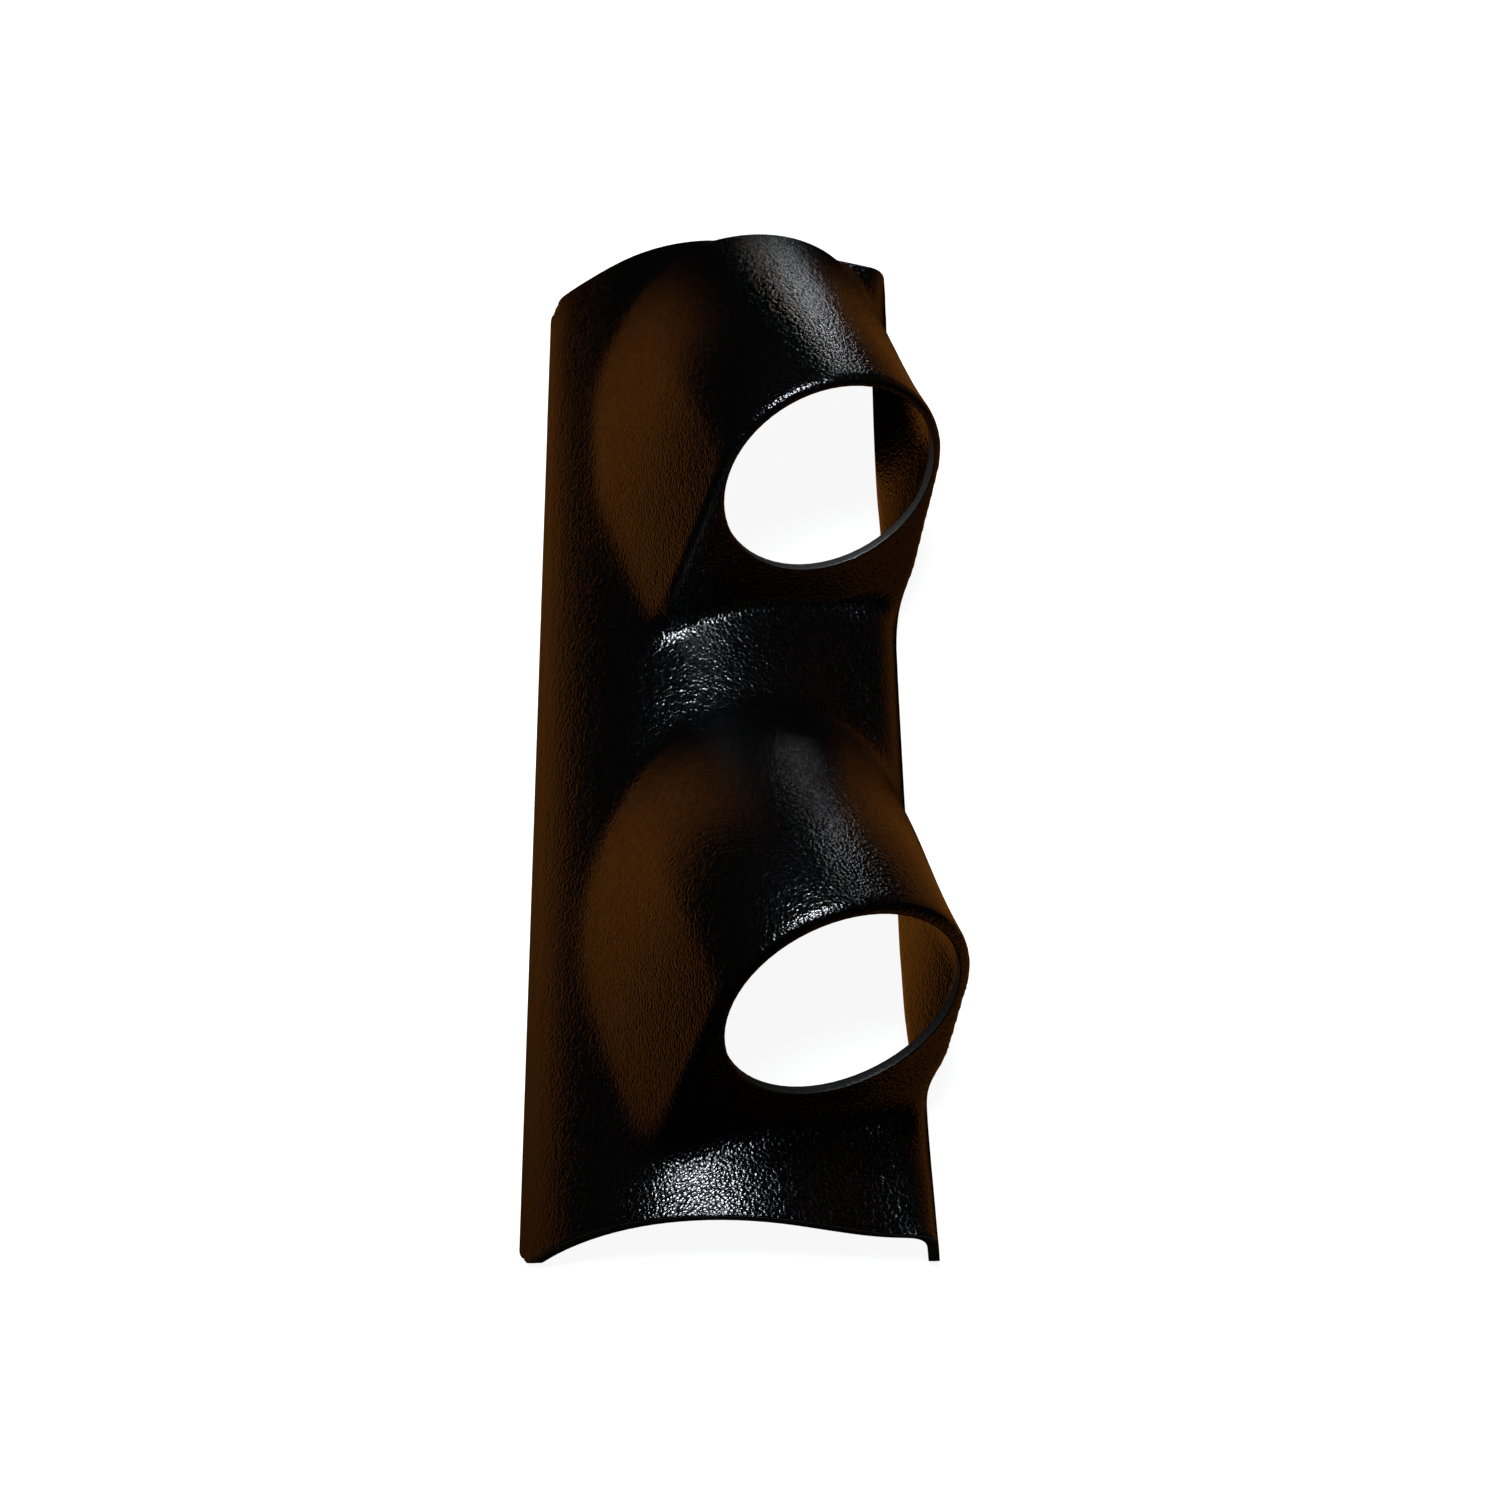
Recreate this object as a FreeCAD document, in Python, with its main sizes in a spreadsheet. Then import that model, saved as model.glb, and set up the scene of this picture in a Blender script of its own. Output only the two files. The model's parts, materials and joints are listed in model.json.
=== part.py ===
import FreeCAD, Part
import math
import os

# Twin gauge pod for a car's windscreen pillar: one moulded shell.
# Frame: the open rear edges lie on Z = 0 and the strip runs along Y, its lower end at -Y.
# X = 0 is the middle of the overall width.  Both gauge bores look towards -Y, a little up
# and a little towards +X.  Lengths are in millimetres and angles in degrees.

doc = FreeCAD.newDocument("gauge_pod")

# ---------------------------------------------------------------- sizes
SIZES = [
    ("strip_length", 277.0, "overall length along Y"),
    ("left_width_top", 49.82, "left rear edge, at the upper end"),
    ("left_width_low", 48.22, "left rear edge, at the lower end"),
    ("right_width_top", 40.78, "right rear edge, at the upper end"),
    ("right_width_mid", 40.38, "right rear edge, between the hoods"),
    ("right_width_low", 44.18, "right rear edge, at the lower end"),
    ("height_top", 26.6, "channel crest over the rear edges, at the upper end"),
    ("height_low", 29.2, "channel crest over the rear edges, at the lower end"),
    ("flank_fill_top", 0.38, "height of the left flank, as a share of the crest's"),
    ("flank_fill_low", 0.47, "the same at the lower end, where the flank is fuller"),
    ("shoulder_fill_top", 0.82, "height of the left shoulder, as a share of the crest's"),
    ("shoulder_fill_low", 0.89, "the same at the lower end"),
    ("shell_wall", 2.2, "thickness of the moulded shell"),
    ("corner_round", 5.0, "rounding of the rear corners at both ends"),
    ("gauge_bore_radius", 26.2, "bore for a standard 52 mm gauge"),
    ("gauge_gap_upper", 0.2, "upper hood's hollow at its face, over the bore's radius"),
    ("gauge_gap_lower", 0.8, "the same for the lower hood"),
    ("hood_swell", 8.0, "growth of a hood's radius from its face to its nose"),
    ("hood_offset", 22.18, "bore centre, to the right"),
    ("hood_rise", 57.7, "bore centre, above the rear edges"),
    ("hood_reach_upper", 98.0, "run of the upper hood along Y, from its face to its nose"),
    ("hood_reach_lower", 86.0, "run of the lower hood along Y, from its face to its nose"),
    ("hood_drift", 22.0, "how far a hood moves left between face and nose"),
    ("face_swing", 19.5, "turn of the bore axis towards +X, seen from above"),
    ("face_tip", 13.7, "climb of the bore axis above the rear plane"),
    ("upper_face_y", 34.7, "bore centre of the upper hood, along Y"),
    ("hood_spacing", 138.6, "distance between the two bore centres"),
    ("skirt_lean_right", 15.0, "lean of a hood's right side"),
    ("skirt_lean_left", 26.0, "lean of a hood's left side, at its face"),
    ("skirt_spread", 26.0, "how much more the left side leans at the nose"),
    ("skirt_limit", 35.02, "how far to the left a hood may reach"),
]
# Every form runs on below the rear plane and is trimmed off there: the hoods to this depth,
# the channel by the overrun, which also takes its hollow out past both ends.
HOOD_FLOOR = -60.0
OVERRUN = 6.0
# Share of a hood's run over which it follows the bore, before it bends down and across.
STRAIGHT_SHARE = 0.12
# How late in a hood's run it bends down, bends across, and leans its left side out.
DROP_POWER = 1.5
DRIFT_POWER = 1.5
LEAN_POWER = 2.5
# Places of the hood sections, from 0 at the face to 1 at the nose, and past it.
HOOD_STATIONS = [0.0, STRAIGHT_SHARE, 0.35, 0.6, 0.82, 1.0, 1.1]
# Place of the middle channel section, from 0 at the lower end to 1 at the upper end.
CHANNEL_MIDDLE = 0.45
# Where the channel's arch passes on the left: how far in from the side, as a share of half
# the width.  The heights of the first two are sizes above.
LEFT_FLANK_IN = 0.20
LEFT_SHOULDER_IN = 0.55
CREST_IN = 0.92
# Where it passes on the right: how far in, and how high as a share of the crest.
RIGHT_ARCH = [(0.70, 0.92), (0.16, 0.63), (0.02, 0.40)]
# Directions in which the arch leaves the left edge and reaches the right wall.
ARCH_START = FreeCAD.Vector(0.55, 0.0, 1.0)
ARCH_END = FreeCAD.Vector(0.05, 0.0, -1.0)
# The left flank slopes, so its inside starts further in than the wall is thick.
SLOPED_INSET = 1.35
# Reach of the trimming solid past the shell.
MARGIN = 60.0

sheet = doc.addObject("Spreadsheet::Sheet", "Sizes")
for row, (alias, value, meaning) in enumerate(SIZES, start=1):
    sheet.set("A%d" % row, alias)
    sheet.set("B%d" % row, str(value))
    sheet.set("C%d" % row, meaning)
    sheet.setAlias("B%d" % row, alias)
doc.recompute()


def size(alias):
    """Value of one named cell."""
    return float(sheet.get(alias))


WALL = size("shell_wall")
LENGTH = size("strip_length")

# ---------------------------------------------------------------- directions of a face
swing = math.radians(size("face_swing"))
tip = math.radians(size("face_tip"))
# Out of the bore, towards the person who reads the gauge.
BORE_AXIS = FreeCAD.Vector(
    math.sin(swing) * math.cos(tip), -math.cos(swing) * math.cos(tip), math.sin(tip)
)
FACE_RIGHT = FreeCAD.Vector(math.cos(swing), math.sin(swing), 0.0)
FACE_UP = FACE_RIGHT.cross(BORE_AXIS) * -1.0


# ---------------------------------------------------------------- helpers
def add_wire(name, edges):
    """Keep a closed wire in the document, as the section of a loft or an extrusion."""
    feature = doc.addObject("Part::Feature", name)
    feature.Shape = Part.Wire(edges)
    feature.Visibility = False
    return feature


def polyline(points):
    """Straight edges from each point to the next."""
    return [Part.makeLine(start, end) for start, end in zip(points, points[1:])]


def loft(name, sections):
    """Smooth solid through its sections."""
    feature = doc.addObject("Part::Loft", name)
    feature.Sections = sections
    feature.Solid = True
    feature.Ruled = False
    feature.Closed = False
    feature.Visibility = False
    return feature


def combine(kind, name, parts):
    """Fusion or common part of several solids."""
    feature = doc.addObject(kind, name)
    feature.Shapes = parts
    feature.Visibility = False
    return feature


def cut(name, base, tool):
    """Base with the tool taken out of it."""
    feature = doc.addObject("Part::Cut", name)
    feature.Base = base
    feature.Tool = tool
    feature.Visibility = False
    return feature


# ---------------------------------------------------------------- channel
def mix(low, top, share):
    """Value part of the way from the lower end (share 0) to the upper end (share 1)."""
    return size(low) * (1 - share) + size(top) * share


def channel_section(name, share, right_width, inset, overshoot):
    """Closed arch across the channel: sloping left flank, round crest, upright right wall."""
    y = LENGTH * (share - 0.5) + overshoot
    left = -mix("left_width_low", "left_width_top", share)
    half = (right_width - left) / 2
    left += inset * SLOPED_INSET
    right = right_width - inset
    crest = mix("height_low", "height_top", share) - inset
    flank = mix("flank_fill_low", "flank_fill_top", share)
    shoulder = mix("shoulder_fill_low", "shoulder_fill_top", share)
    arch = [
        FreeCAD.Vector(left, y, 0.0),
        FreeCAD.Vector(left + LEFT_FLANK_IN * half, y, flank * crest),
        FreeCAD.Vector(left + LEFT_SHOULDER_IN * half, y, shoulder * crest),
        FreeCAD.Vector(left + CREST_IN * half, y, crest),
    ]
    for share_in, share_up in RIGHT_ARCH:
        arch.append(FreeCAD.Vector(right - share_in * half, y, share_up * crest))
    curve = Part.BSplineCurve()
    curve.interpolate(arch, InitialTangent=ARCH_START, FinalTangent=ARCH_END)
    foot_left = arch[0]
    foot_right = FreeCAD.Vector(right, y, 0.0)
    below = FreeCAD.Vector(0.0, 0.0, -OVERRUN)
    outline = [arch[-1], foot_right, foot_right + below, foot_left + below, foot_left]
    return add_wire(name, [curve.toShape()] + polyline(outline))


def channel(name, inset, overshoot):
    """Channel solid, made smaller all round by inset and longer at both ends by overshoot."""
    sections = [
        channel_section(name + "_low", 0.0, size("right_width_low"), inset, -overshoot),
        channel_section(name + "_mid", CHANNEL_MIDDLE, size("right_width_mid"), inset, 0.0),
        channel_section(name + "_top", 1.0, size("right_width_top"), inset, overshoot),
    ]
    return loft(name, sections)


# ---------------------------------------------------------------- hoods
def hood_section(name, face_centre, along, face_radius, reach, inset):
    """Section of a hood, parallel to its face: round top and two leaning sides.

    along runs from 0 at the face to 1 at the nose.  The hood keeps the bore's direction
    over the first stretch, then bends down until its crest meets the crest of the channel.
    """
    bend = max(along - STRAIGHT_SHARE, 0.0) / (1.0 - STRAIGHT_SHARE)
    radius = face_radius - inset + size("hood_swell") * bend

    straight_drop = reach * math.tan(tip) / math.cos(swing)
    nose_drop = size("hood_rise") + face_radius + size("hood_swell") - size("height_top")
    drop = straight_drop * along + (nose_drop - straight_drop) * bend ** DROP_POWER
    straight_drift = reach * math.tan(swing)
    drift = straight_drift * along + (size("hood_drift") - straight_drift) * bend ** DRIFT_POWER
    centre = face_centre + FreeCAD.Vector(-drift, reach * along, -drop)

    extra_lean = size("skirt_spread") * min(along, 1.0) ** LEAN_POWER
    lean_left = math.radians(size("skirt_lean_left") + extra_lean)
    lean_right = math.radians(size("skirt_lean_right"))

    def on_plane(right, up):
        return centre + FACE_RIGHT * right + FACE_UP * up

    floor = (HOOD_FLOOR - centre.z) / FACE_UP.z
    # The sides are tangent to the round top.
    left_x = -radius * math.cos(lean_left)
    left_y = radius * math.sin(lean_left)
    right_x = radius * math.cos(lean_right)
    right_y = -radius * math.sin(lean_right)
    # The left side leans out as far as its limit, and then goes straight down.
    limit_x = (inset - size("skirt_limit") - centre.x) / FACE_RIGHT.x
    limit_y = left_y - (left_x - limit_x) / math.tan(lean_left)
    foot_x = right_x - (right_y - floor) * math.tan(lean_right)

    top = Part.Arc(on_plane(left_x, left_y), on_plane(0.0, radius), on_plane(right_x, right_y))
    outline = [
        on_plane(right_x, right_y),
        on_plane(foot_x, floor),
        on_plane(limit_x, floor),
        on_plane(limit_x, limit_y),
        on_plane(left_x, left_y),
    ]
    return add_wire(name, [top.toShape()] + polyline(outline))


def hood(name, face_centre, face_radius, reach, inset):
    """Hood solid, made smaller all round by inset."""
    sections = []
    for index, along in enumerate(HOOD_STATIONS):
        # The hollow starts behind the face, which is as thick as the shell.
        start = face_centre - BORE_AXIS * inset if index == 0 else face_centre
        section_name = "%s_section_%d" % (name, index)
        sections.append(hood_section(section_name, start, along, face_radius, reach, inset))
    return loft(name, sections)


def gauge_bore(name, face_centre):
    """Cylinder that opens the face for the gauge."""
    cylinder = doc.addObject("Part::Cylinder", name)
    cylinder.setExpression("Radius", "Sizes.gauge_bore_radius")
    cylinder.setExpression("Height", "4 * Sizes.shell_wall")
    turn = FreeCAD.Rotation(FreeCAD.Vector(0, 0, 1), BORE_AXIS)
    cylinder.Placement = FreeCAD.Placement(face_centre - BORE_AXIS * 2 * WALL, turn)
    cylinder.Visibility = False
    return cylinder


# ---------------------------------------------------------------- side outline
def side_outline():
    """Outline in the Y-Z plane: flat rear edge, two rounded rear corners, open top."""
    end = LENGTH / 2
    radius = size("corner_round")
    inner = radius * (1.0 - math.sqrt(0.5))
    roof = 2 * size("hood_rise")

    def at(y, z):
        return FreeCAD.Vector(-size("left_width_top") - MARGIN, y, z)

    lower_corner = Part.Arc(at(-end, radius), at(-end + inner, inner), at(-end + radius, 0.0))
    upper_corner = Part.Arc(at(end - radius, 0.0), at(end - inner, inner), at(end, radius))
    edges = [lower_corner.toShape()]
    edges += polyline([at(-end + radius, 0.0), at(end - radius, 0.0)])
    edges.append(upper_corner.toShape())
    edges += polyline([at(end, radius), at(end, roof), at(-end, roof), at(-end, radius)])
    return add_wire("side_outline", edges)


def trimming_solid():
    """Everything between the two ends and above the rear plane."""
    solid = doc.addObject("Part::Extrusion", "trim")
    solid.Base = side_outline()
    solid.DirMode = "Custom"
    solid.Dir = FreeCAD.Vector(1, 0, 0)
    solid.setExpression("LengthFwd", "2 * Sizes.left_width_top + %g" % (2 * MARGIN))
    solid.Solid = True
    solid.Visibility = False
    return solid


# ---------------------------------------------------------------- pod shell
def build_pod_shell():
    """The one moulded piece: outer form, less the hollow, less the two bores."""
    upper_y = size("upper_face_y")
    lower_y = upper_y - size("hood_spacing")
    hoods = [
        ("upper", upper_y, size("gauge_gap_upper"), size("hood_reach_upper")),
        ("lower", lower_y, size("gauge_gap_lower"), size("hood_reach_lower")),
    ]
    forms = [channel("channel_form", 0.0, 0.0)]
    hollows = [channel("channel_hollow", WALL, OVERRUN)]
    bores = []
    for which, face_y, gap, reach in hoods:
        centre = FreeCAD.Vector(size("hood_offset"), face_y, size("hood_rise"))
        # A hood takes the gauge with a gap all round, and its wall goes outside that.
        radius = size("gauge_bore_radius") + gap + WALL
        forms.append(hood("hood_form_" + which, centre, radius, reach, 0.0))
        hollows.append(hood("hood_hollow_" + which, centre, radius, reach, WALL))
        bores.append(gauge_bore("gauge_bore_" + which, centre))

    outer = combine("Part::MultiFuse", "outer_form", forms)
    inner = combine("Part::MultiFuse", "inner_hollow", hollows)
    skin = cut("skin", outer, inner)
    openings = combine("Part::MultiFuse", "openings", bores)
    bored = cut("bored_skin", skin, openings)
    return combine("Part::MultiCommon", "pod_shell", [bored, trimming_solid()])


pod_shell = build_pod_shell()
pod_shell.Label = "pod_shell"
# The shell is modelled in place, in the frame described at the top.
pod_shell.Placement = FreeCAD.Placement()
pod_shell.Visibility = True
doc.recompute()

# ---------------------------------------------------------------- checks and files
for item in doc.Objects:
    if "Invalid" in item.State or "Error" in item.State:
        raise RuntimeError("%s did not compute: %s" % (item.Name, item.State))
    if hasattr(item, "Shape") and (item.Shape.isNull() or not item.Shape.isValid()):
        raise RuntimeError("%s has no valid shape" % item.Name)
if len(pod_shell.Shape.Solids) != 1:
    raise RuntimeError("the pod shell is not one solid")

os.makedirs("parts", exist_ok=True)
for piece in [pod_shell]:
    piece.Shape.exportStep("parts/%s.step" % piece.Label)
    print(piece.Label, "volume", round(piece.Shape.Volume), "mm3")
print("bore axis", [round(part, 5) for part in BORE_AXIS])
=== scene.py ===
import json
import math
import bmesh
import bpy
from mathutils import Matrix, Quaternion, Vector
from mathutils.kdtree import KDTree


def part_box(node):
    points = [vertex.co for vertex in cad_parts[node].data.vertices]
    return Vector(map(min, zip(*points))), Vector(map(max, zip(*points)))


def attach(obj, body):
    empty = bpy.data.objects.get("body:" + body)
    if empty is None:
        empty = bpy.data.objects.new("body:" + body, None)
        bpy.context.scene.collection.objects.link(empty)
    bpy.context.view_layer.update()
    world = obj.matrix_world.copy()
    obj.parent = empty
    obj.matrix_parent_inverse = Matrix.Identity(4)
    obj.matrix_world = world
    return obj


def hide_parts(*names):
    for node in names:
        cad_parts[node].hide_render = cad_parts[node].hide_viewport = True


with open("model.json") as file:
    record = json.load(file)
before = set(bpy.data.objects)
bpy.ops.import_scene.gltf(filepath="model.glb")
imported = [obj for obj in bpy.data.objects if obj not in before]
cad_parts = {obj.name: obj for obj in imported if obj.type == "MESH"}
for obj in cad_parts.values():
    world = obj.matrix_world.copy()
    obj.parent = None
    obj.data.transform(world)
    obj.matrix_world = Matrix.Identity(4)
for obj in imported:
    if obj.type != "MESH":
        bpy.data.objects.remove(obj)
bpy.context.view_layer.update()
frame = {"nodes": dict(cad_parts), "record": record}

# Looks of the twin gauge pod.  Everything is in metres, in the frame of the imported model:
# rear edges on Z = 0, upper end at +Y, gauges turned towards +X.

MM = 0.001

# ---------------------------------------------------------------- sizes
# The shell's mesh has two to this power cells over its length, which is this share of them.
MESH_DEPTH = 9
MESH_SHARE = 0.9
# A sharp edge of the CAD shell is one where the surface turns by more than this.
SHARP_TURN = math.radians(14)
# How far each kind of blend reaches from its edge, and how many smoothing passes it gets.
FLANK_REACH = 14.0 * MM
FLANK_PASSES = 220
LOWER_CREASE_REACH = 17.0 * MM
LOWER_CREASE_PASSES = 300
UPPER_CREASE_REACH = 6.0 * MM
UPPER_CREASE_PASSES = 40
RIM_REACH = 4.0 * MM
RIM_PASSES = 34
SMOOTH_FACTOR = 0.9
# Spacing of the points that are kept along a sharp edge.
POINT_STEP = 0.8 * MM
# How near to a plane or an axis an edge of the CAD shell still counts as lying on it.
EDGE_SLACK = 0.4 * MM
BORE_EDGE_SLACK = 0.6 * MM
# A crease with its point above this place along Y belongs to the upper hood.
HOOD_SPLIT = -40 * MM
# No blend moves the cut edges.  It comes back to full strength this far from an end or a rear
# edge, and between these two distances outside a bore's wall, near that bore's face.
GUARD_REACH = 5 * MM
GUARD_BORE_START = 0.1 * MM
GUARD_BORE_END = 1.4 * MM
GUARD_FACE_REACH = 4 * MM
# A face is a cut edge if it lies this near to an end, to the rear plane or to a bore's wall,
# and if the direction in which it faces agrees with that cut at least this well.
CUT_END_SLACK = 0.1 * MM
CUT_REAR_SLACK = 0.15 * MM
CUT_BORE_SLACK = 0.5 * MM
CUT_FLAT_AGREEMENT = 0.8
CUT_BORE_AGREEMENT = 0.7

# Leather grain: pebbles and fine pores per metre, how far the pebbles are bent out of shape,
# how high they stand, and the pores' share of that height.
PEBBLE_SCALE = 1200.0
PEBBLE_HEIGHT = 0.14 * MM
WARP_SCALE = 420.0
WARP_REACH = 0.9 * MM
FINE_SCALE = 2600.0
FINE_SHARE = 0.15
# Roughness of a pebble's top and of the creases, and the cell values where these are reached.
PEBBLE_ROUGHNESS = 0.09
CREASE_ROUGHNESS = 0.22
PEBBLE_TOP = 0.10
CREASE_FLOOR = 0.40
# The plastic's two blacks, and how coarse the patches are in which they mix.
BLACK_DEEP = (0.0006, 0.0006, 0.0007, 1.0)
BLACK_WORN = (0.0014, 0.0013, 0.0013, 1.0)
PATCH_SCALE = 45.0
# The trimmed edges: their two greys, their roughness, and the marks left by the cutter.
CUT_DARK = (0.006, 0.0055, 0.005, 1.0)
CUT_PALE = (0.028, 0.026, 0.023, 1.0)
CUT_ROUGHNESS = 0.55
CUT_MARK_SCALE = 1500.0
CUT_MARK_HEIGHT = 0.1 * MM
CUT_MARK_STRENGTH = 0.4

bores = {mount["name"]: mount for mount in frame["record"]["mounts"] if mount["kind"] == "bore"}
# Both bores have the same wall and the same radius.
WALL = bores["upper_gauge_bore"]["dims"]["length_mm"] * MM
BORE_RADIUS = bores["upper_gauge_bore"]["dims"]["r_mm"] * MM
low_corner, high_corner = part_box("pod_shell")


# ---------------------------------------------------------------- materials
def new_material(name):
    """Empty node material with its shader already joined to its output."""
    material = bpy.data.materials.new(name)
    material.use_nodes = True
    shader = material.node_tree.nodes["Principled BSDF"]
    return material, material.node_tree, shader


def add_node(tree, kind, **values):
    """New node of one kind, with its sockets and properties set."""
    node = tree.nodes.new(kind)
    for key, value in values.items():
        if key in node.inputs:
            node.inputs[key].default_value = value
        else:
            setattr(node, key, value)
    return node


def leather_cells(tree):
    """Pebbles of a leather grain: 0 at a pebble's middle, rising to the creases around it."""
    place = add_node(tree, "ShaderNodeTexCoord")
    warp = add_node(tree, "ShaderNodeTexNoise", Scale=WARP_SCALE, Detail=2.0)
    tree.links.new(place.outputs["Object"], warp.inputs["Vector"])
    bend = add_node(tree, "ShaderNodeVectorMath", operation="MULTIPLY_ADD")
    bend.inputs[1].default_value = (WARP_REACH, WARP_REACH, WARP_REACH)
    tree.links.new(warp.outputs["Color"], bend.inputs[0])
    tree.links.new(place.outputs["Object"], bend.inputs[2])
    cells = add_node(tree, "ShaderNodeTexVoronoi", feature="F1", Scale=PEBBLE_SCALE)
    tree.links.new(bend.outputs["Vector"], cells.inputs["Vector"])
    rounded = add_node(tree, "ShaderNodeMath", operation="POWER")
    rounded.inputs[1].default_value = 2.0
    tree.links.new(cells.outputs["Distance"], rounded.inputs[0])
    return rounded.outputs["Value"]


def black_leather_grain():
    """Black moulded plastic with a leather grain: glossy pebbles, dull creases."""
    material, tree, shader = new_material("black_grained_plastic")
    cells = leather_cells(tree)
    place = add_node(tree, "ShaderNodeTexCoord")
    fine = add_node(tree, "ShaderNodeTexNoise", Scale=FINE_SCALE, Detail=3.0, Roughness=0.6)
    tree.links.new(place.outputs["Object"], fine.inputs["Vector"])
    fine_part = add_node(tree, "ShaderNodeMath", operation="MULTIPLY")
    fine_part.inputs[1].default_value = FINE_SHARE
    tree.links.new(fine.outputs["Fac"], fine_part.inputs[0])
    height = add_node(tree, "ShaderNodeMath", operation="SUBTRACT")
    tree.links.new(fine_part.outputs["Value"], height.inputs[0])
    tree.links.new(cells, height.inputs[1])
    bump = add_node(tree, "ShaderNodeBump", Strength=1.0, Distance=PEBBLE_HEIGHT)
    tree.links.new(height.outputs["Value"], bump.inputs["Height"])
    tree.links.new(bump.outputs["Normal"], shader.inputs["Normal"])
    rough = add_node(tree, "ShaderNodeMapRange")
    rough.inputs["From Min"].default_value = PEBBLE_TOP
    rough.inputs["From Max"].default_value = CREASE_FLOOR
    rough.inputs["To Min"].default_value = PEBBLE_ROUGHNESS
    rough.inputs["To Max"].default_value = CREASE_ROUGHNESS
    tree.links.new(cells, rough.inputs["Value"])
    tree.links.new(rough.outputs["Result"], shader.inputs["Roughness"])
    wear = add_node(tree, "ShaderNodeTexNoise", Scale=PATCH_SCALE, Detail=4.0)
    tree.links.new(place.outputs["Object"], wear.inputs["Vector"])
    tint = add_node(tree, "ShaderNodeMixRGB")
    tint.inputs["Color1"].default_value = BLACK_DEEP
    tint.inputs["Color2"].default_value = BLACK_WORN
    tree.links.new(wear.outputs["Fac"], tint.inputs["Fac"])
    tree.links.new(tint.outputs["Color"], shader.inputs["Base Color"])
    return material


def cut_plastic():
    """Trimmed edge of the moulding: bare, duller and greyer than the grained skin."""
    material, tree, shader = new_material("trimmed_edge_plastic")
    place = add_node(tree, "ShaderNodeTexCoord")
    marks = add_node(tree, "ShaderNodeTexNoise", Scale=CUT_MARK_SCALE, Detail=4.0)
    tree.links.new(place.outputs["Object"], marks.inputs["Vector"])
    tint = add_node(tree, "ShaderNodeMixRGB")
    tint.inputs["Color1"].default_value = CUT_DARK
    tint.inputs["Color2"].default_value = CUT_PALE
    tree.links.new(marks.outputs["Fac"], tint.inputs["Fac"])
    tree.links.new(tint.outputs["Color"], shader.inputs["Base Color"])
    bump = add_node(tree, "ShaderNodeBump", Strength=CUT_MARK_STRENGTH, Distance=CUT_MARK_HEIGHT)
    tree.links.new(marks.outputs["Fac"], bump.inputs["Height"])
    tree.links.new(bump.outputs["Normal"], shader.inputs["Normal"])
    shader.inputs["Roughness"].default_value = CUT_ROUGHNESS
    return material


# ---------------------------------------------------------------- shell
def copy_of_node(name, new_name):
    """New object with a copy of a CAD node's mesh, its doubled vertices welded."""
    mesh = frame["nodes"][name].data.copy()
    mesh.name = new_name
    mesh.materials.clear()
    work = bmesh.new()
    work.from_mesh(mesh)
    bmesh.ops.remove_doubles(work, verts=work.verts, dist=0.001 * MM)
    work.to_mesh(mesh)
    work.free()
    piece = bpy.data.objects.new(new_name, mesh)
    bpy.context.collection.objects.link(piece)
    return piece


def sharp_points(mesh):
    """Points along the edges where the CAD surface turns sharply, with their kind.

    kind is "crease" where the turn is hollow and "ridge" where it stands out.
    """
    work = bmesh.new()
    work.from_mesh(mesh)
    found = []
    for edge in work.edges:
        if len(edge.link_faces) != 2:
            continue
        turn = edge.calc_face_angle_signed()
        if abs(turn) < SHARP_TURN:
            continue
        start, end = (vert.co.copy() for vert in edge.verts)
        steps = max(1, math.ceil((end - start).length / POINT_STEP))
        for step in range(steps + 1):
            point = start.lerp(end, step / steps)
            found.append((point, "ridge" if turn > 0 else "crease"))
    work.free()
    return found


def bore_place(point):
    """Distance of a point from the nearest bore's axis, and its height over that face."""
    best = None
    for mount in bores.values():
        axis = Vector(mount["axis"]).normalized()
        offset = point - Vector(mount["pos_m"])
        height = offset.dot(axis) - mount["dims"]["length_mm"] * MM / 2
        radius = (offset - axis * offset.dot(axis)).length
        if best is None or abs(height) < abs(best[1]):
            best = (radius, height)
    return best


def blend_kind(point, kind):
    """Which blend a sharp edge of the CAD shell gets: rim, upper, lower, flank or None."""
    at_end = min(point.y - low_corner[1], high_corner[1] - point.y) < EDGE_SLACK
    at_rear = point.z < EDGE_SLACK
    radius, height = bore_place(point)
    at_face = -WALL - EDGE_SLACK < height < EDGE_SLACK
    at_bore = at_face and radius < BORE_RADIUS + BORE_EDGE_SLACK
    if at_end or at_rear or at_bore:
        return None
    if not at_face:
        return "flank"
    on_front = height > -WALL / 2
    if (kind == "ridge") == on_front:
        return "rim"
    return "upper" if point.y > HOOD_SPLIT else "lower"


def fade(value, start, end):
    """0 up to start, 1 from end on, and a smooth rise between them."""
    share = min(max((value - start) / (end - start), 0.0), 1.0)
    return share * share * (3.0 - 2.0 * share)


def guard(point):
    """0 on the cut edges, which no blend may move, rising to 1 a little way from them."""
    from_end = min(point.y - low_corner[1], high_corner[1] - point.y)
    share = fade(from_end, 0.0, GUARD_REACH) * fade(point.z, 0.0, GUARD_REACH)
    radius, height = bore_place(point)
    if abs(height) < GUARD_FACE_REACH:
        share *= fade(radius, BORE_RADIUS + GUARD_BORE_START, BORE_RADIUS + GUARD_BORE_END)
    return share


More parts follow.
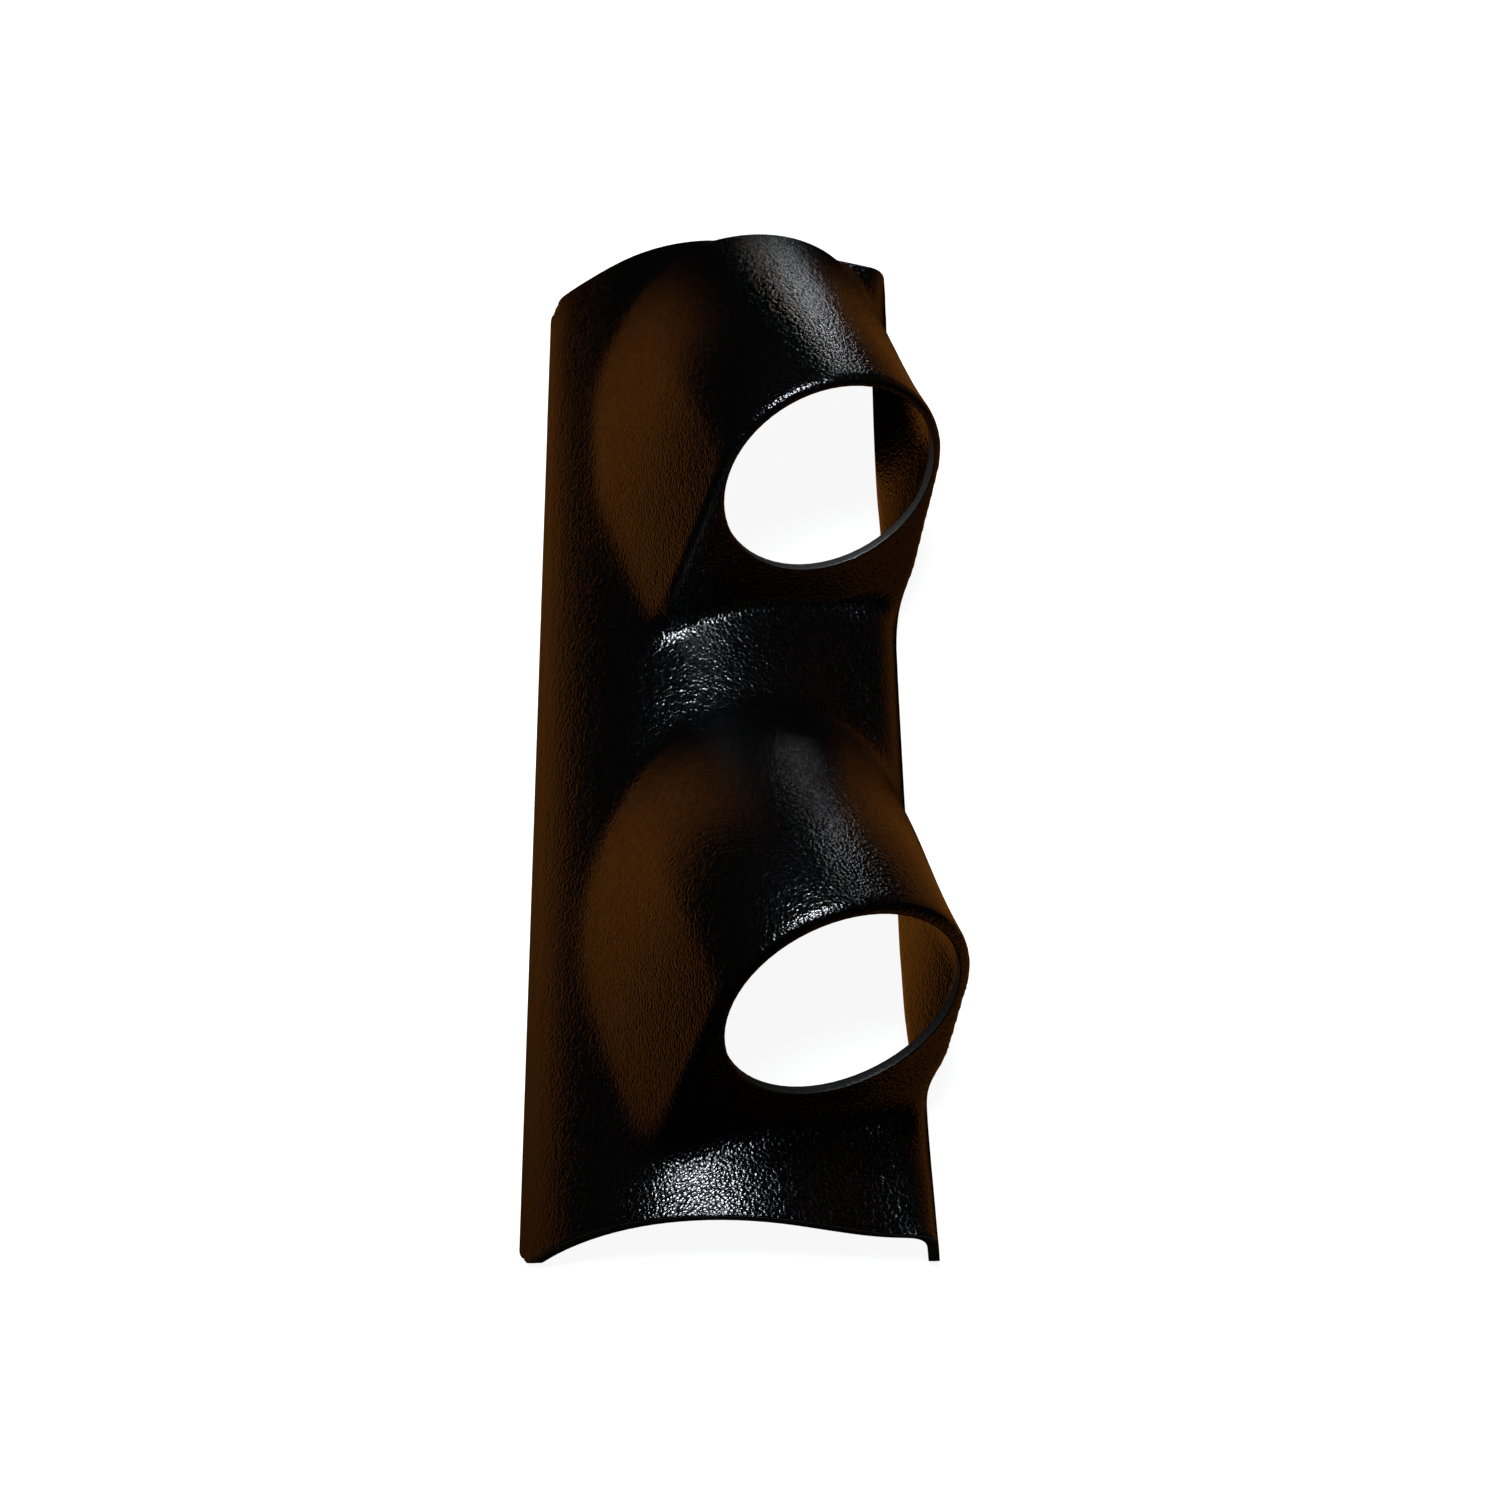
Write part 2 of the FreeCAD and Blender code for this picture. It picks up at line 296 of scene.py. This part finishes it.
def smooth_group(piece, name, points, reach, passes):
    """Smooths the piece near some points, strongest at the points and fading out at reach."""
    if not points:
        return
    tree = KDTree(len(points))
    for index, point in enumerate(points):
        tree.insert(point, index)
    tree.balance()
    group = piece.vertex_groups.new(name=name)
    for vert in piece.data.vertices:
        distance = tree.find(vert.co)[2]
        if distance < reach:
            weight = fade(reach - distance, 0.0, reach) * guard(vert.co)
            group.add([vert.index], weight, "REPLACE")
    smoother = piece.modifiers.new(name, "SMOOTH")
    smoother.vertex_group = name
    smoother.factor = SMOOTH_FACTOR
    smoother.iterations = passes


def apply_modifiers(piece):
    """Bakes every modifier of a piece into its mesh."""
    graph = bpy.context.evaluated_depsgraph_get()
    shape = bpy.data.meshes.new_from_object(piece.evaluated_get(graph))
    piece.modifiers.clear()
    piece.vertex_groups.clear()
    old = piece.data
    piece.data = shape
    bpy.data.meshes.remove(old)


def keep_in_box(mesh):
    """Keeps every point of a mesh inside the box of the CAD shell."""
    for vert in mesh.vertices:
        for axis in range(3):
            vert.co[axis] = min(max(vert.co[axis], low_corner[axis]), high_corner[axis])


def trimmed(face):
    """Whether a face lies on a cut edge: an end, a rear edge or a bore wall."""
    centre = face.center
    at_end = min(centre.y - low_corner[1], high_corner[1] - centre.y) < CUT_END_SLACK
    if at_end and abs(face.normal.y) > CUT_FLAT_AGREEMENT:
        return True
    if centre.z < CUT_REAR_SLACK and face.normal.z < -CUT_FLAT_AGREEMENT:
        return True
    for mount in bores.values():
        axis = Vector(mount["axis"]).normalized()
        offset = centre - Vector(mount["pos_m"])
        along = offset.dot(axis)
        outward = offset - axis * along
        close = abs(along) < WALL
        close = close and outward.length < BORE_RADIUS + CUT_BORE_SLACK
        if close and face.normal.dot(outward.normalized()) < -CUT_BORE_AGREEMENT:
            return True
    return False


def make_shell():
    """The moulded shell, with the blends between its hoods, faces and channel."""
    piece = copy_of_node("pod_shell", "shell_skin")
    groups = {"flank": [], "upper": [], "lower": [], "rim": []}
    for point, kind in sharp_points(piece.data):
        group = blend_kind(point, kind)
        if group:
            groups[group].append(point)
    remesh = piece.modifiers.new("even_mesh", "REMESH")
    remesh.mode = "SHARP"
    remesh.octree_depth = MESH_DEPTH
    remesh.scale = MESH_SHARE
    remesh.sharpness = 1.0
    apply_modifiers(piece)
    smooth_group(piece, "flank", groups["flank"], FLANK_REACH, FLANK_PASSES)
    smooth_group(piece, "lower", groups["lower"], LOWER_CREASE_REACH, LOWER_CREASE_PASSES)
    smooth_group(piece, "upper", groups["upper"], UPPER_CREASE_REACH, UPPER_CREASE_PASSES)
    smooth_group(piece, "rim", groups["rim"], RIM_REACH, RIM_PASSES)
    apply_modifiers(piece)
    keep_in_box(piece.data)
    piece.data.materials.append(black_leather_grain())
    piece.data.materials.append(cut_plastic())
    for face in piece.data.polygons:
        face.use_smooth = True
        face.material_index = 1 if trimmed(face) else 0
    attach(piece, "root")
    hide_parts("pod_shell")


make_shell()


# ---------------------------------------------------------------- stage and light
def edge_window(tree):
    """1 in the middle of a card, falling smoothly to 0 at its edges."""
    place = add_node(tree, "ShaderNodeTexCoord")
    split = add_node(tree, "ShaderNodeSeparateXYZ")
    tree.links.new(place.outputs["Object"], split.inputs["Vector"])
    across_both = add_node(tree, "ShaderNodeMath", operation="MULTIPLY")
    for index, axis in enumerate(("X", "Y")):
        square = add_node(tree, "ShaderNodeMath", operation="MULTIPLY")
        tree.links.new(split.outputs[axis], square.inputs[0])
        tree.links.new(split.outputs[axis], square.inputs[1])
        # A card runs from -0.5 to 0.5 in its own units, so this is 0 at its edge.
        window = add_node(tree, "ShaderNodeMath", operation="MULTIPLY_ADD", use_clamp=True)
        window.inputs[1].default_value = -4.0
        window.inputs[2].default_value = 1.0
        tree.links.new(square.outputs["Value"], window.inputs[0])
        tree.links.new(window.outputs["Value"], across_both.inputs[index])
    return across_both.outputs["Value"]


def emission_material(name, colour, strength, soft):
    """Glowing material for a studio card, evenly bright or fading to its edges."""
    material = bpy.data.materials.new(name)
    material.use_nodes = True
    tree = material.node_tree
    tree.nodes.clear()
    glow = add_node(tree, "ShaderNodeEmission")
    glow.inputs["Color"].default_value = (*colour, 1.0)
    glow.inputs["Strength"].default_value = strength
    if soft:
        level = add_node(tree, "ShaderNodeMath", operation="MULTIPLY")
        level.inputs[1].default_value = strength
        tree.links.new(edge_window(tree), level.inputs[0])
        tree.links.new(level.outputs["Value"], glow.inputs["Strength"])
    output = add_node(tree, "ShaderNodeOutputMaterial")
    tree.links.new(glow.outputs["Emission"], output.inputs["Surface"])
    return material


def card(name, centre, size, facing, colour, strength, lean=0.0, soft=False):
    """Studio card: a glowing rectangle that lights the object and stays out of the picture."""
    work = bmesh.new()
    bmesh.ops.create_grid(work, x_segments=1, y_segments=1, size=0.5)
    mesh = bpy.data.meshes.new(name)
    work.to_mesh(mesh)
    work.free()
    piece = bpy.data.objects.new(name, mesh)
    bpy.context.collection.objects.link(piece)
    mesh.materials.append(emission_material(name + "_glow", colour, strength, soft))
    piece.location = centre
    turn = Vector(facing).to_track_quat("Z", "Y") @ Quaternion((0.0, 0.0, 1.0), lean)
    piece.rotation_euler = turn.to_euler()
    piece.scale = (size[0], size[1], 1.0)
    piece.visible_camera = False


# Half the floor's side, its drop under the rear edges, its grey and its own glow.
FLOOR_REACH = 60.0
FLOOR_DROP = 0.3 * MM
FLOOR_GREY = (0.35, 0.35, 0.35, 1.0)
FLOOR_GLOW = 0.93


def pale_floor():
    """Pale floor under the rear edges, seen by the camera only."""
    work = bmesh.new()
    bmesh.ops.create_grid(work, x_segments=1, y_segments=1, size=FLOOR_REACH)
    mesh = bpy.data.meshes.new("floor")
    work.to_mesh(mesh)
    work.free()
    piece = bpy.data.objects.new("floor", mesh)
    bpy.context.collection.objects.link(piece)
    piece.location.z = -FLOOR_DROP
    material, _, shader = new_material("pale_floor")
    shader.inputs["Base Color"].default_value = FLOOR_GREY
    shader.inputs["Roughness"].default_value = 1.0
    shader.inputs["Specular IOR Level"].default_value = 0.0
    shader.inputs["Emission Color"].default_value = (1.0, 1.0, 1.0, 1.0)
    shader.inputs["Emission Strength"].default_value = FLOOR_GLOW
    mesh.materials.append(material)
    piece.visible_diffuse = False
    piece.visible_glossy = False
    piece.visible_shadow = False


pale_floor()
COOL = (0.86, 0.92, 1.0)
WARM = (1.0, 0.33, 0.045)
NEUTRAL = (1.0, 0.94, 0.86)
# Every card has its name, centre, size across and along, facing, colour and strength.
# Two narrow strips far behind: the grain breaks each into a band of sparks down the hoods.
for name, across, colour, strength in (
    ("far_strip_right", 0.295, COOL, 22.0),
    ("far_strip_left", 0.165, NEUTRAL, 9.0),
):
    place = (across, 1.3, 0.20)
    card(name, place, (0.025, 1.5), (-0.15, -1.0, 0.0), colour, strength, lean=-0.30, soft=True)
# Small bright cards over the lower end and over the rims of the hoods.
card("overhead_far", (-0.06, 0.035, 0.42), (0.17, 0.05), (0.1, -0.2, -1.0), COOL, 130.0, soft=True)
card("overhead_near", (-0.05, -0.25, 1.15), (0.25, 0.20), (0.0, 0.1, -1.0), COOL, 45.0)
# Warm surroundings, which the sides of the black plastic reflect.
card("left_table", (-0.072, 0.04, -0.004), (0.06, 0.46), (0.0, 0.0, 1.0), WARM, 0.38, soft=True)
card("right_table", (0.13, 0.06, -0.004), (0.15, 0.54), (0.0, 0.0, 1.0), WARM, 0.20)
card("under_glow", (0.0, 0.0, -0.06), (0.08, 0.26), (0.0, 0.0, 1.0), WARM, 0.24)
card("right_glow", (0.6, 0.35, 0.10), (0.4, 0.5), (-1.0, -0.3, 0.0), WARM, 0.18)

world = bpy.data.worlds.new("studio_dark")
world.use_nodes = True
world.node_tree.nodes["Background"].inputs["Color"].default_value = (0.0, 0.0, 0.0, 1.0)
bpy.context.scene.world = world
bpy.context.scene.view_settings.view_transform = "Standard"

# ---------------------------------------------------------------- camera
CAMERA_TARGET = Vector((3.20 * MM, -3.47 * MM, 0.0))
CAMERA_DISTANCE = 0.7079
CAMERA_CLIMB = math.radians(57.41)
CAMERA_TURN = math.radians(0.31)
# The lens in millimetres, on a sensor this wide.
SENSOR_WIDTH = 36.0
LENS_LENGTH = 69.6
direction = Vector(
    (
        -math.sin(CAMERA_TURN) * math.cos(CAMERA_CLIMB),
        -math.cos(CAMERA_TURN) * math.cos(CAMERA_CLIMB),
        math.sin(CAMERA_CLIMB),
    )
)
camera_data = bpy.data.cameras.new("camera")
camera_data.sensor_width = SENSOR_WIDTH
camera_data.lens = LENS_LENGTH
camera = bpy.data.objects.new("camera", camera_data)
camera.location = CAMERA_TARGET + direction * CAMERA_DISTANCE
camera.rotation_euler = (-direction).to_track_quat("-Z", "Y").to_euler()
bpy.context.collection.objects.link(camera)
bpy.context.scene.camera = camera

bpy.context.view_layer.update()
